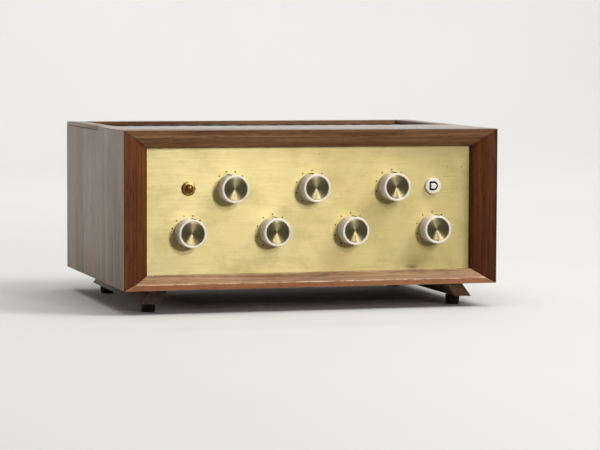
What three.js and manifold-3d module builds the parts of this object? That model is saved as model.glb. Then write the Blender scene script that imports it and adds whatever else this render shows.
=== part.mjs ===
// Integrated amplifier: a wooden case with a bevelled front frame, a recessed brass faceplate with seven knobs,
// a lamp and a mains switch, and the chassis, controls, transformers and sockets that it holds.
// Sizes are in millimetres. X runs to the right, Y from the front to the back, Z up.
// x counts from the middle, y from the front of the wooden frame, z from the underside of the feet.
import * as THREE from "three";
import { mergeVertices } from "three/addons/utils/BufferGeometryUtils.js";
import Module from "manifold-3d";

// Case
const CASE_WIDTH = 365;
const CASE_DEPTH = 268;
const CASE_HEIGHT = 148;
const BOARD = 14; // thickness of the boards
const GAP = 0.3; // left between pieces that touch

// Runners and feet
const FOOT_HEIGHT = 9;
const FOOT_RADIUS = 7;
const FOOT_X = 151.3;
const FOOT_Y = { front: 37, rear: 220 };
const RUNNER_HEIGHT = 14;
const RUNNER_WIDTH = 16;
const RUNNER_TOP_X = 136.6; // inner top edge
const RUNNER_SPLAY = 10.2; // how far the bottom lies outside the top
const RUNNER_ENDS = [15.2, 235];

// Front frame, with widths counted inwards from the outside of the case
const SIDE_FRAME = { flat: 10.6, width: 23.2 };
const TOP_FRAME = { flat: 7.1, width: 15.8 };
const BOTTOM_FRAME = { flat: 5.4, width: 13.4 };
const BEVEL_DEPTH = 6.6;
const PLATE_FRONT = 12.7; // front of the brass faceplate
const PLATE_THICKNESS = 1.5;
const PLATE_OVERLAP = 4; // how far the faceplate reaches behind the frame

// Opening in the top, with its rails and grille
const TOP_BOARD_DEPTH = 118;
const RAIL_WIDTH = 18;
const RAIL_THICKNESS = 3.2;
const REAR_RAIL = { depth: 15, height: 14 };
const GRILLE = { drop: 3.8, thickness: 1.2 };
const GRILLE_SLOT = { columns: 18, rows: 4, width: 10, length: 25, pitchX: 17.6, pitchY: 31 };

// Chassis and rear panel
const STEEL = 1.2;
const CHASSIS_HALF_WIDTH = 160;
const FLANGE_TOP = 153;
const REAR_PANEL_FRONT = 255;
const REAR_SLOT = { columns: 20, width: 5, height: 20, pitch: 15, z: 137 };

// Control positions on the faceplate
const PANEL_MIDDLE = 1.4; // the layout is centred a little to the right of the case
const COLUMN_STEPS = [0, 38.3, 79, 119.9]; // distances from the middle of the layout
const UPPER_ROW = 116.5;
const LOWER_ROW = 75.6;

// Knob, shaft and control
const KNOB = { radius: 13.4, front: -5.5, base: 12.1, recess: 11.3, recessFloor: -1 };
const POINTER = { width: 1.4, height: 0.7, front: -2.5 };
const INLAY_RADIUS = 11;
const SHAFT = { radius: 3, clearance: 0.1, front: 1.2 };
const NECK = { radius: 4.7, front: 8.6 };
const NUT = { radius: 7.2, thickness: 2.4 };
const POTENTIOMETER = { radius: 12, length: 12 };
const WAFER_SWITCH = { radius: 16.5, length: 21 };
const CONTROL_HOLE = 5.2;

// Lamp and mains switch
const LAMP = { flange: 6.7, barrel: 4.6, bore: 3.9, front: 9.2 };
const COLLAR = { radius: 7.7, front: 8.7, lip: 1.5, bore: 5.9 };
const DOLLY = { radius: 2.9, flat: 2.3, front: 7.6, back: 14.5, pivot: 12, tilt: 8, gap: 1.4 };
const SWITCH_NECK = { radius: 5.6, bore: 4.6, front: 10.5 };
const SWITCH_BOX = { width: 22, depth: 22, height: 18 };

// Fittings on the rear panel
const REAR_ROW = 66;
const INLET = { x: 128, flange: 16, body: 12, recess: 9.5, pinCircle: 5.7, pin: 2 };
const TERMINALS = { x: -112, width: 96, height: 22, pitch: 15, screws: 6, screw: 4 };
const SOCKETS = { x: 10, pitchX: 20, pitchZ: 22, columns: 6, barrel: 4.1, bore: 1.7, length: 8.5 };

const CASE_BOTTOM = FOOT_HEIGHT + RUNNER_HEIGHT;
const CASE_TOP = CASE_BOTTOM + CASE_HEIGHT;
const HALF_WIDTH = CASE_WIDTH / 2;
const INNER_X = HALF_WIDTH - BOARD;
const REAR_RAIL_FRONT = CASE_DEPTH - REAR_RAIL.depth;
const PLATE_BACK = PLATE_FRONT + PLATE_THICKNESS;
const FLANGE_FRONT = PLATE_BACK + GAP;
const FLANGE_BACK = FLANGE_FRONT + STEEL;
const CONTROL_FRONT = FLANGE_BACK + GAP;
const BOTTOM_BOARD = BOTTOM_FRAME.width - GAP; // thickness, so that it ends below the faceplate
const CHASSIS_BOTTOM = CASE_BOTTOM + BOTTOM_BOARD + GAP;
const CHASSIS_TOP = CHASSIS_BOTTOM + STEEL;
const REAR_PANEL_BACK = REAR_PANEL_FRONT + STEEL;
const FITTING_FRONT = REAR_PANEL_BACK + GAP;

// A column to the left of the middle has a negative number, one to the right a positive number.
const columnX = (column) => PANEL_MIDDLE + Math.sign(column) * COLUMN_STEPS[Math.abs(column)];

// pointer is where the knob points at rest, in degrees clockwise from straight up, seen from the front.
const CONTROLS = [
  { name: "function", x: columnX(-2), z: UPPER_ROW, pointer: -15, body: WAFER_SWITCH },
  { name: "filter", x: columnX(0), z: UPPER_ROW, pointer: -11, body: POTENTIOMETER },
  { name: "balance", x: columnX(2), z: UPPER_ROW, pointer: 0, body: POTENTIOMETER },
  { name: "selector", x: columnX(-3), z: LOWER_ROW, pointer: 15, body: WAFER_SWITCH },
  { name: "bass", x: columnX(-1), z: LOWER_ROW, pointer: 0, body: POTENTIOMETER },
  { name: "treble", x: columnX(1), z: LOWER_ROW, pointer: 6, body: POTENTIOMETER },
  { name: "volume", x: columnX(3), z: LOWER_ROW, pointer: 11, body: POTENTIOMETER },
];
const LAMP_PLACE = { x: columnX(-3), z: UPPER_ROW };
const SWITCH_PLACE = { x: columnX(3), z: UPPER_ROW };

const FINISHES = {
  walnut: { color: 0x6b452c, roughness: 0.5, metalness: 0 },
  brass: { color: 0xdcc682, roughness: 0.35, metalness: 1 },
  ivory: { color: 0xe9e2d2, roughness: 0.35, metalness: 0 },
  spun: { color: 0xb9ab8c, roughness: 0.25, metalness: 1 },
  plated: { color: 0xa9aaa8, roughness: 0.35, metalness: 1 },
  steel: { color: 0x8f9290, roughness: 0.45, metalness: 0.8 },
  grille: { color: 0x1c1a18, roughness: 0.6, metalness: 0.3 },
  rubber: { color: 0x151412, roughness: 0.85, metalness: 0 },
  phenolic: { color: 0x2a1c14, roughness: 0.5, metalness: 0 },
  gilt: { color: 0xa97a38, roughness: 0.3, metalness: 1 },
  jewel: { color: 0x4a2a0a, roughness: 0.1, metalness: 0 },
  iron: { color: 0x33353a, roughness: 0.55, metalness: 0.4 },
  black_plastic: { color: 0x1b1b1c, roughness: 0.4, metalness: 0 },
};

const wasm = await Module();
wasm.setup();

const part = new THREE.Group();
part.position.y = -(KNOB.front + CASE_DEPTH) / 2;

function add(name, geometry, finish, x = 0, y = 0, z = 0) {
  const mesh = new THREE.Mesh(geometry, new THREE.MeshStandardMaterial(FINISHES[finish]));
  mesh.name = name;
  mesh.position.set(x, y, z);
  part.add(mesh);
  return mesh;
}

// Joining and cutting ------------------------------------------------------------------------------------

function toSolid(geometry) {
  const bare = geometry.index ? geometry.toNonIndexed() : geometry.clone();
  bare.deleteAttribute("normal");
  bare.deleteAttribute("uv");
  const merged = mergeVertices(bare, 1e-4);
  const vertProperties = new Float32Array(merged.attributes.position.array);
  const triVerts = new Uint32Array(merged.index.array);
  return new wasm.Manifold(new wasm.Mesh({ numProp: 3, vertProperties, triVerts }));
}

function toGeometry(solid) {
  const mesh = solid.getMesh();
  const geometry = new THREE.BufferGeometry();
  geometry.setAttribute("position", new THREE.BufferAttribute(mesh.vertProperties, 3));
  geometry.setIndex(new THREE.BufferAttribute(mesh.triVerts, 1));
  return geometry;
}

function join(...geometries) {
  return toGeometry(geometries.map(toSolid).reduce((whole, piece) => whole.add(piece)));
}

function cut(geometry, ...tools) {
  return toGeometry(tools.map(toSolid).reduce((whole, tool) => whole.subtract(tool), toSolid(geometry)));
}

function common(a, b) {
  return toGeometry(toSolid(a).intersect(toSolid(b)));
}

// Basic shapes -------------------------------------------------------------------------------------------

// A box between two values on each axis, in either order.
function box(xs, ys, zs) {
  const low = [xs, ys, zs].map((pair) => Math.min(...pair));
  const size = [xs, ys, zs].map(([a, b]) => Math.abs(b - a));
  const centre = low.map((value, axis) => value + size[axis] / 2);
  return new THREE.BoxGeometry(...size).translate(...centre);
}

function outline(points) {
  return new THREE.Shape(points.map(([u, v]) => new THREE.Vector2(u, v)));
}

function extrude(shape, depth, curveSegments) {
  return new THREE.ExtrudeGeometry(shape, { depth, bevelEnabled: false, curveSegments });
}

// A shape drawn in (x, z) and run along Y.
function alongY(shape, y0, y1, curveSegments = 6) {
  return extrude(shape, y1 - y0, curveSegments).rotateX(Math.PI / 2).translate(0, y1, 0);
}

// A shape drawn in (x, y) and run along Z.
function alongZ(shape, z0, z1) {
  return extrude(shape, z1 - z0).translate(0, 0, z0);
}

// A shape drawn in (y, z) and run along X.
function alongX(shape, x0, x1) {
  return extrude(shape, x1 - x0).rotateZ(Math.PI / 2).rotateY(Math.PI / 2).translate(x0, 0, 0);
}

// A piece turned about the Y axis, from a closed profile of [radius, y] points.
function turned(profile, segments) {
  const points = profile.map(([radius, y]) => new THREE.Vector2(radius, y));
  const onAxis = points[0].x === 0 && points.at(-1).x === 0;
  if (THREE.ShapeUtils.isClockWise(points)) points.reverse();
  if (!onAxis) points.push(points[0].clone());
  return new THREE.LatheGeometry(points, segments);
}

function rod(radius, y0, y1, segments = 16) {
  return turned([[0, y0], [radius, y0], [radius, y1], [0, y1]], segments);
}

// Wooden case --------------------------------------------------------------------------------------------

// The corner that a mitre takes off a board: where v is less than u + gap, both counted in from the outer edge.
function mitre(gap) {
  const reach = BOARD + 1;
  return [[-1, -1], [reach, -1], [reach, reach + gap], [-1, gap - 1]];
}

const FRONT_MITRE_GAP = 0.4;
const CORNER_MITRE_GAP = 0.2;

// The side boards are mitred to the bottom board all the way, and to the top board as far as that goes.
function sideBoard(side) {
  const x = (inwards) => side * (HALF_WIDTH - inwards);
  const board = box([x(0), x(BOARD)], [0, CASE_DEPTH], [CASE_BOTTOM, CASE_TOP]);
  const frontMitre = outline(mitre(FRONT_MITRE_GAP).map(([inwards, y]) => [x(inwards), y]));
  const topMitre = outline(mitre(CORNER_MITRE_GAP).map(([inwards, down]) => [x(inwards), CASE_TOP - down]));
  const bottomMitre = outline(mitre(CORNER_MITRE_GAP).map(([inwards, up]) => [x(inwards), CASE_BOTTOM + up]));
  const rebateFloor = CASE_TOP - RAIL_THICKNESS - GAP;
  return cut(
    board,
    alongZ(frontMitre, CASE_BOTTOM - 1, CASE_TOP + 1),
    alongY(topMitre, -1, TOP_BOARD_DEPTH + GAP),
    alongY(bottomMitre, -1, CASE_DEPTH + 1),
    box([x(-1), x(BOARD + 1)], [TOP_BOARD_DEPTH, CASE_DEPTH + 1], [rebateFloor, CASE_TOP + 1]),
  );
}

// A level board with its ends mitred at 45 degrees and its front edge mitred for the frame.
function levelBoard(edgeZ, upwards, thickness, depth) {
  const outerX = HALF_WIDTH - CORNER_MITRE_GAP;
  const innerX = outerX - thickness;
  const innerZ = edgeZ + upwards * thickness;
  const section = outline([[-outerX, edgeZ], [outerX, edgeZ], [innerX, innerZ], [-innerX, innerZ]]);
  const frontMitre = outline(mitre(FRONT_MITRE_GAP).map(([inwards, y]) => [y, edgeZ + upwards * inwards]));
  return cut(alongY(section, 0, depth), alongX(frontMitre, -HALF_WIDTH, HALF_WIDTH));
}

function rearRail() {
  const ys = [REAR_RAIL_FRONT, CASE_DEPTH];
  const stripX = HALF_WIDTH - RAIL_WIDTH - GAP;
  const battenX = INNER_X - GAP;
  const battenTop = CASE_TOP - RAIL_THICKNESS - GAP;
  const section = outline([
    [-stripX, CASE_TOP],
    [stripX, CASE_TOP],
    [stripX, battenTop],
    [battenX, battenTop],
    [battenX, CASE_TOP - REAR_RAIL.height],
    [-battenX, CASE_TOP - REAR_RAIL.height],
    [-battenX, battenTop],
    [-stripX, battenTop],
  ]);
  return alongY(section, ...ys);
}

for (const [name, side] of [["left", -1], ["right", 1]]) {
  add(`case_side_${name}`, sideBoard(side), "walnut");
  const railX = [side * (HALF_WIDTH - RAIL_WIDTH), side * HALF_WIDTH];
  const railY = [TOP_BOARD_DEPTH + GAP, CASE_DEPTH];
  add(`vent_rail_${name}`, box(railX, railY, [CASE_TOP - RAIL_THICKNESS, CASE_TOP]), "walnut");
}
add("case_top", levelBoard(CASE_TOP, -1, BOARD, TOP_BOARD_DEPTH), "walnut");
add("case_bottom", levelBoard(CASE_BOTTOM, 1, BOTTOM_BOARD, CASE_DEPTH), "walnut");
add("vent_rail_rear", rearRail(), "walnut");

// Front frame --------------------------------------------------------------------------------------------

// Section of a moulding as [inwards, y]: flat front, bevel, edge of the recess, and a back that meets the board.
function mouldingSection({ flat, width }) {
  const back = PLATE_FRONT - GAP;
  return [[0, 0], [flat, 0], [width, BEVEL_DEPTH], [width, back], [back, back]];
}

// The three corners of a mitre in (x, z), from the outside of the case to the edge of the recess.
function frameCorner(side, frame, edgeZ, upwards, trimX, trimZ) {
  return [
    [0, 0],
    [SIDE_FRAME.flat, frame.flat],
    [SIDE_FRAME.width, frame.width],
  ].map(([inX, inZ]) => [side * (HALF_WIDTH - inX - trimX), edgeZ + upwards * (inZ + trimZ)]);
}

const MITRE_TRIM = GAP / 2;
const FRAME_RUN = [-1, PLATE_FRONT + 1];

// The front edge of a level board, which the ends of the side mouldings are cut round.
function boardFront(edgeZ, upwards) {
  const start = FRONT_MITRE_GAP - GAP;
  const section = [[start - 1, -1], [start + BOARD, BOARD], [start + BOARD, -1]];
  const inPlace = section.map(([y, inwards]) => [y, edgeZ + upwards * inwards]);
  return alongX(outline(inPlace), -HALF_WIDTH - 1, HALF_WIDTH + 1);
}

function sideMoulding(side) {
  const section = outline(mouldingSection(SIDE_FRAME).map(([inwards, y]) => [side * (HALF_WIDTH - inwards), y]));
  const top = frameCorner(side, TOP_FRAME, CASE_TOP, -1, 0, MITRE_TRIM);
  const bottom = frameCorner(side, BOTTOM_FRAME, CASE_BOTTOM, 1, 0, MITRE_TRIM);
  const ends = outline([...top, ...bottom.reverse()]);
  const moulding = common(alongZ(section, CASE_BOTTOM, CASE_TOP), alongY(ends, ...FRAME_RUN));
  return cut(moulding, boardFront(CASE_TOP, -1), boardFront(CASE_BOTTOM, 1));
}

function levelMoulding(frame, edgeZ, upwards) {
  const section = outline(mouldingSection(frame).map(([inwards, y]) => [y, edgeZ + upwards * inwards]));
  const left = frameCorner(-1, frame, edgeZ, upwards, MITRE_TRIM, 0);
  const right = frameCorner(1, frame, edgeZ, upwards, MITRE_TRIM, 0);
  const ends = outline([...left, ...right.reverse()]);
  return common(alongX(section, -HALF_WIDTH, HALF_WIDTH), alongY(ends, ...FRAME_RUN));
}

add("bezel_left", sideMoulding(-1), "walnut");
add("bezel_right", sideMoulding(1), "walnut");
add("bezel_top", levelMoulding(TOP_FRAME, CASE_TOP, -1), "walnut");
add("bezel_bottom", levelMoulding(BOTTOM_FRAME, CASE_BOTTOM, 1), "walnut");

// Runners, feet and grille -------------------------------------------------------------------------------

function runner(side) {
  const top = CASE_BOTTOM - GAP;
  const bottom = FOOT_HEIGHT + GAP;
  const section = outline([
    [side * RUNNER_TOP_X, top],
    [side * (RUNNER_TOP_X + RUNNER_WIDTH), top],
    [side * (RUNNER_TOP_X + RUNNER_WIDTH + RUNNER_SPLAY), bottom],
    [side * (RUNNER_TOP_X + RUNNER_SPLAY), bottom],
  ]);
  return alongY(section, ...RUNNER_ENDS);
}

function foot() {
  const rim = FOOT_RADIUS - 0.8;
  const profile = [[0, 0], [rim, 0], [FOOT_RADIUS - 0.3, 0.6], [FOOT_RADIUS, FOOT_HEIGHT], [0, FOOT_HEIGHT]];
  return turned(profile, 20).rotateX(Math.PI / 2);
}

for (const [name, side] of [["left", -1], ["right", 1]]) {
  add(`runner_${name}`, runner(side), "walnut");
  for (const [end, y] of Object.entries(FOOT_Y)) add(`foot_${end}_${name}`, foot(), "rubber", side * FOOT_X, y);
}

// Evenly spaced positions, centred on middle.
function spaced(count, pitch, middle = 0) {
  return Array.from({ length: count }, (_, index) => middle + (index - (count - 1) / 2) * pitch);
}

// The two ends of a stretch of the given size, centred on middle.
function around(middle, size) {
  return [middle - size / 2, middle + size / 2];
}

function grille() {
  const x = INNER_X - GAP;
  const ys = [TOP_BOARD_DEPTH + GAP, REAR_RAIL_FRONT - GAP];
  const top = CASE_TOP - GRILLE.drop;
  const bottom = top - GRILLE.thickness;
  const { columns, rows, width, length, pitchX, pitchY } = GRILLE_SLOT;
  const slots = spaced(columns, pitchX).flatMap((slotX) =>
    spaced(rows, pitchY, (ys[0] + ys[1]) / 2).map((slotY) =>
      box(around(slotX, width), around(slotY, length), [bottom - 1, top + 1]),
    ),
  );
  return cut(box([-x, x], ys, [bottom, top]), ...slots);
}

add("vent_grille", grille(), "grille");

// Faceplate, chassis and rear panel ----------------------------------------------------------------------

function hole(x, z, radius) {
  return new THREE.Path().absarc(x, z, radius, 0, 2 * Math.PI);
}

function controlHoles() {
  const holes = CONTROLS.map(({ x, z }) => hole(x, z, CONTROL_HOLE));
  holes.push(hole(LAMP_PLACE.x, LAMP_PLACE.z, LAMP.barrel + GAP));
  holes.push(hole(SWITCH_PLACE.x, SWITCH_PLACE.z, SWITCH_NECK.radius + GAP));
  return holes;
}

function faceplate() {
  const x = HALF_WIDTH - SIDE_FRAME.width + PLATE_OVERLAP;
  const z0 = CASE_BOTTOM + BOTTOM_FRAME.width;
  const z1 = CASE_TOP - TOP_FRAME.width + GAP;
  const sheet = outline([[-x, z0], [x, z0], [x, z1], [-x, z1]]);
  sheet.holes.push(...controlHoles());
  return alongY(sheet, PLATE_FRONT, PLATE_BACK);
}

function chassis() {
  const x = CHASSIS_HALF_WIDTH;
  const flange = outline([[-x, CHASSIS_BOTTOM], [x, CHASSIS_BOTTOM], [x, FLANGE_TOP], [-x, FLANGE_TOP]]);
  flange.holes.push(...controlHoles());
  const base = box([-x, x], [FLANGE_FRONT, REAR_PANEL_FRONT - GAP], [CHASSIS_BOTTOM, CHASSIS_TOP]);
  return join(alongY(flange, FLANGE_FRONT, FLANGE_BACK), base);
}

function rearPanel() {
  const x = INNER_X - GAP;
  const z1 = CASE_TOP - REAR_RAIL.height - GAP;
  const through = [REAR_PANEL_FRONT - 1, REAR_PANEL_BACK + 1];
  const { columns, width, height, pitch, z } = REAR_SLOT;
  const slots = spaced(columns, pitch).map((slotX) => box(around(slotX, width), through, around(z, height)));
  const inletHole = rod(INLET.body + GAP, ...through, 24).translate(INLET.x, 0, REAR_ROW);
  return cut(box([-x, x], [REAR_PANEL_FRONT, REAR_PANEL_BACK], [CHASSIS_BOTTOM, z1]), ...slots, inletHole);
}

add("faceplate", faceplate(), "brass");
add("chassis", chassis(), "steel");
add("rear_panel", rearPanel(), "steel");

// Knobs, shafts and controls -----------------------------------------------------------------------------

// A knob is a hollow cap with a hub, a dished recess for the inlay and a pointer rib along its top.
function knob() {
  const { radius, front, base, recess, recessFloor } = KNOB;
  const bore = SHAFT.radius + GAP;
  const hub = bore + 2.2;
  const wall = radius - 2.6;
  const boreEnd = SHAFT.front - GAP;
  const ceiling = boreEnd + 1.6;
  const hubEnd = NECK.front - 0.7;
  const cap = turned(
    [
      [0, recessFloor],
      [recess, recessFloor],
      [recess, front + 0.4],
      [recess + 0.5, front],
      [radius - 0.7, front + 0.4],
      [radius - 0.1, front + 1.6],
      [radius - 0.1, base],
      [wall, base],
      [wall, ceiling],
      [hub, ceiling],
      [hub, hubEnd],
      [bore, hubEnd],
      [bore, boreEnd],
      [0, boreEnd],
    ],
    24,
  );
  const rib = box(around(0, POINTER.width), [POINTER.front, base], [radius - 1, radius + POINTER.height]);
  return join(cap, rib);
}

function inlay() {
  const back = KNOB.recessFloor - GAP;
  const edge = KNOB.front + 1;
  const profile = [[0, back], [INLAY_RADIUS, back], [INLAY_RADIUS, edge], [0, back - 0.9]];
  return turned(profile, 24);
}

const boreRadius = SHAFT.radius + SHAFT.clearance;

// Bushing that holds the shaft, from the bottom of its bore to the outside of its thread.
function bushing(boreEnd) {
  return [[0, boreEnd], [boreRadius, boreEnd], [boreRadius, NECK.front], [NECK.radius, NECK.front]];
}

function nut() {
  const back = PLATE_FRONT - GAP;
  const hexagon = rod(NUT.radius, back - NUT.thickness, back, 6);
  return cut(hexagon, rod(NECK.radius - 0.5, back - NUT.thickness - 1, back + 1, 16));
}

function solderLug(x, y, z0, z1) {
  return box(around(x, 2), [y, y + 0.8], [z0, z1]);
}

function potentiometer() {
  const { radius, length } = POTENTIOMETER;
  const back = CONTROL_FRONT + length;
  const can = turned(
    [
      ...bushing(back - 1.5),
      [NECK.radius, CONTROL_FRONT],
      [radius, CONTROL_FRONT],
      [radius, back],
      [0, back],
    ],
    16,
  );
  const lugs = [-6, 0, 6].map((x) => solderLug(x, CONTROL_FRONT + 2, -radius - 6, -radius + 3));
  return join(can, nut(), ...lugs);
}

function waferSwitch() {
  const { radius, length } = WAFER_SWITCH;
  const stem = NECK.radius + 0.6;
  const wafers = [9, 16].map((offset) => CONTROL_FRONT + offset);
  const waferThickness = 1.8;
  const stack = turned(
    [
      ...bushing(CONTROL_FRONT + length - 2),
      [NECK.radius, CONTROL_FRONT],
      [radius - 2, CONTROL_FRONT],
      [radius - 2, CONTROL_FRONT + 2.5],
      [stem, CONTROL_FRONT + 2.5],
      ...wafers.flatMap((y) => [
        [stem, y],
        [radius, y],
        [radius, y + waferThickness],
        [stem, y + waferThickness],
      ]),
      [stem, CONTROL_FRONT + length],
      [0, CONTROL_FRONT + length],
    ],
    16,
  );
  const spacers = [-1, 1].map((side) => {
    const x = side * (radius - 4.5);
    return rod(1.6, CONTROL_FRONT + 1, CONTROL_FRONT + length, 8).translate(x, 0, 0);
  });
  return join(stack, nut(), ...spacers);
}

for (const { name, x, z, pointer, body } of CONTROLS) {
  const isPotentiometer = body === POTENTIOMETER;
  const control = isPotentiometer ? potentiometer() : waferSwitch();
  const boreEnd = CONTROL_FRONT + body.length - (isPotentiometer ? 1.5 : 2);
  add(`knob_${name}`, knob(), "ivory", x, 0, z).rotation.y = THREE.MathUtils.degToRad(pointer);
  add(`knob_inlay_${name}`, inlay(), "spun", x, 0, z);
  add(`shaft_${name}`, rod(SHAFT.radius, SHAFT.front, boreEnd - 0.5), "plated", x, 0, z);
  add(`${isPotentiometer ? "potentiometer" : "wafer_switch"}_${name}`, control, "plated", x, 0, z);
}

// Lamp and mains switch ----------------------------------------------------------------------------------

const LAMP_BACK = CONTROL_FRONT + 9;

function lampBezel() {
  const { flange, barrel, bore, front } = LAMP;
  const back = PLATE_FRONT - GAP;
  return turned(
    [
      [bore, front + 0.6],
      [bore + 0.9, front],
      [flange - 0.6, front + 1.1],
      [flange, front + 2],
      [flange, back],
      [barrel, back],
      [barrel, LAMP_BACK],
      [bore, LAMP_BACK],
    ],
    20,
  );
}

function lampJewel() {
  const radius = LAMP.bore - GAP;
  const { front } = LAMP;
  const dome = [[0, front - 1], [radius * 0.5, front - 0.7], [radius * 0.87, front + 0.2], [radius, front + 1.5]];
  return turned([...dome, [radius, LAMP_BACK - 1], [0, LAMP_BACK - 1]], 20);
}

add("lamp_bezel", lampBezel(), "gilt", LAMP_PLACE.x, 0, LAMP_PLACE.z);
add("lamp_jewel", lampJewel(), "jewel", LAMP_PLACE.x, 0, LAMP_PLACE.z);

// A circle with its left side cut off flat.
function flattenedCircle(radius, flat) {
  const corner = Math.acos(-flat / radius);
  return new THREE.Shape().absarc(0, 0, radius, -corner, corner);
}

function switchCollar() {
  const { radius, front, lip, bore } = COLLAR;
  const back = PLATE_FRONT - GAP;
  const disc = turned([[0, front], [radius - 1, front], [radius, front + 1], [radius, back], [0, back]], 24);
  const mouth = flattenedCircle(DOLLY.radius + DOLLY.gap, DOLLY.flat + DOLLY.gap);
  return cut(disc, alongY(mouth, front - 1, back, 16), rod(bore, front + lip, back + 1, 20));
}

// The dolly is drawn about its pivot, which is a pin along Z.
function switchDolly() {
  const { radius, flat, front, back, pivot } = DOLLY;
  const lever = alongY(flattenedCircle(radius, flat), front - pivot, back - pivot, 14);
  const pin = rod(0.9, -SWITCH_NECK.bore + GAP, SWITCH_NECK.bore - GAP, 8).rotateX(Math.PI / 2);
  return join(lever, pin);
}

function switchBody() {
  const { radius, bore, front } = SWITCH_NECK;
  const { width, depth, height } = SWITCH_BOX;
  const back = CONTROL_FRONT + depth;
  const housing = box(around(0, width), [CONTROL_FRONT, back], around(0, height));
  const neck = rod(radius, front, CONTROL_FRONT + 1);
  const tags = spaced(2, 12).map((x) => box(around(x, 4), [back - 1, back + 8], around(0, 1)));
  return cut(join(housing, neck, ...tags), rod(bore, front - 1, CONTROL_FRONT + 4));
}

add("switch_collar", switchCollar(), "ivory", SWITCH_PLACE.x, 0, SWITCH_PLACE.z);
add("switch_body", switchBody(), "black_plastic", SWITCH_PLACE.x, 0, SWITCH_PLACE.z);
const dolly = add("switch_dolly", switchDolly(), "ivory", SWITCH_PLACE.x, DOLLY.pivot, SWITCH_PLACE.z);
dolly.rotation.z = -THREE.MathUtils.degToRad(DOLLY.tilt);

// Transformers -------------------------------------------------------------------------------------------

// Laminated core standing on the chassis, with its winding bulging out at the front and the back.
function transformer(width, depth, height) {
  const z0 = CHASSIS_TOP + GAP;
  const foot = 3;
  const core = box(around(0, width), around(0, depth), [z0, z0 + height]);
  const winding = box(around(0, width * 0.6), around(0, depth * 1.32), around(z0 + height / 2, height * 0.66));
  const bracket = box(around(0, width + 18), around(0, depth), [z0, z0 + foot]);
  return join(core, winding, bracket);
}

add("mains_transformer", transformer(84, 62, 76), "iron", 100, 190);
add("output_transformer_left", transformer(56, 44, 52), "iron", -112, 205);
add("output_transformer_right", transformer(56, 44, 52), "iron", -28, 205);

// Fittings on the rear panel -----------------------------------------------------------------------------

function mainsInlet() {
  const { flange, body, recess, pinCircle, pin } = INLET;
  const inside = REAR_PANEL_FRONT - 11;
  const floor = inside + 2;
  const mouth = FITTING_FRONT + 2.5;
  const shell = turned(
    [
      [0, inside],
      [body, inside],
      [body, FITTING_FRONT],
      [flange, FITTING_FRONT],
      [flange, mouth],
      [recess, mouth],
      [recess, floor],
      [0, floor],
    ],
    24,
  );
  const pins = [0, 1, 2].map((index) => {
    const angle = (index / 3) * 2 * Math.PI + Math.PI / 2;
    return rod(pin, floor - 1, mouth - 2, 8).translate(pinCircle * Math.cos(angle), 0, pinCircle * Math.sin(angle));
  });
  return join(shell, ...pins);
}

function speakerTerminals() {
  const { width, height, pitch, screws, screw } = TERMINALS;
  const face = FITTING_FRONT + 3;
  const strip = box(around(0, width), [FITTING_FRONT, face], around(0, height));
  const heads = spaced(screws, pitch).map((x) => rod(screw, face - 1, face + 3.5, 12).translate(x, 0, 0));
  return join(strip, ...heads);
}

function inputSockets() {
  const { barrel, bore, length, columns, pitchX, pitchZ } = SOCKETS;
  const face = FITTING_FRONT + 1.2;
  const plate = box(around(0, columns * pitchX + 4), [FITTING_FRONT, face], around(0, 2 * pitchZ));
  const tip = face + length;
  const profile = [
    [0, face + 1.5],
    [bore, face + 1.5],
    [bore, tip],
    [barrel, tip],
    [barrel, face + 2],
    [barrel + 1.4, face + 2],
    [barrel + 1.4, face - 0.5],
    [0, face - 0.5],
  ];
  const barrels = spaced(columns, pitchX).flatMap((x) =>
    spaced(2, pitchZ).map((z) => turned(profile, 12).translate(x, 0, z)),
  );
  return join(plate, ...barrels);
}

add("mains_inlet", mainsInlet(), "black_plastic", INLET.x, 0, REAR_ROW);
add("speaker_terminals", speakerTerminals(), "phenolic", TERMINALS.x, 0, REAR_ROW);
add("input_sockets", inputSockets(), "plated", SOCKETS.x, 0, REAR_ROW);

export default part;
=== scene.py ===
"""Looks of the integrated amplifier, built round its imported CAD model.

X runs to the right, Y from the front to the back, Z up from the floor.
Places are in metres, and the shapes of the pieces are in millimetres.
"""

import math

import bmesh
import bpy
from mathutils import Matrix, Vector


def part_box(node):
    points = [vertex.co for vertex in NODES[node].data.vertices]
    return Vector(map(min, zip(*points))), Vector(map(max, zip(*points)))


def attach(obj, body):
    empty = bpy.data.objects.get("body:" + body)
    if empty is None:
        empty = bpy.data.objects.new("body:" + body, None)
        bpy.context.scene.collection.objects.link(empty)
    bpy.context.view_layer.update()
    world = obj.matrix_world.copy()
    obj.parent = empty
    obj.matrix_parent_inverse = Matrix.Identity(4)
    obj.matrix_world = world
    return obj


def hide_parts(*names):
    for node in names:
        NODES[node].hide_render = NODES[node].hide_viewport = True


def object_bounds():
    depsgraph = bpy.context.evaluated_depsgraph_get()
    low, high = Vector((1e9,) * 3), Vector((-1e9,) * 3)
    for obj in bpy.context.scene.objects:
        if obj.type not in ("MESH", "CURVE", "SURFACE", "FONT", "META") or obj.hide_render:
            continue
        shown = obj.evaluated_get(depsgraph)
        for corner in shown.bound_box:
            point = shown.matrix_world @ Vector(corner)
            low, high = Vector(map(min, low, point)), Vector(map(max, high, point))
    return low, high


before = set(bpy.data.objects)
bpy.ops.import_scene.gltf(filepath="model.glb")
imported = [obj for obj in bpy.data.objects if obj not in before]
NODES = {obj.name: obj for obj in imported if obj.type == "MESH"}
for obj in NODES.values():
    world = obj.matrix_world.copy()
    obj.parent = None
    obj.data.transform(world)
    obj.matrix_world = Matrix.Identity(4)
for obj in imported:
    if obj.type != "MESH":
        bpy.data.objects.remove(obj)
CAD_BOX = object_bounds()

MM = 0.001  # metres
CONTROLS = ("function", "filter", "balance", "selector", "bass", "treble", "volume")
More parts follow.
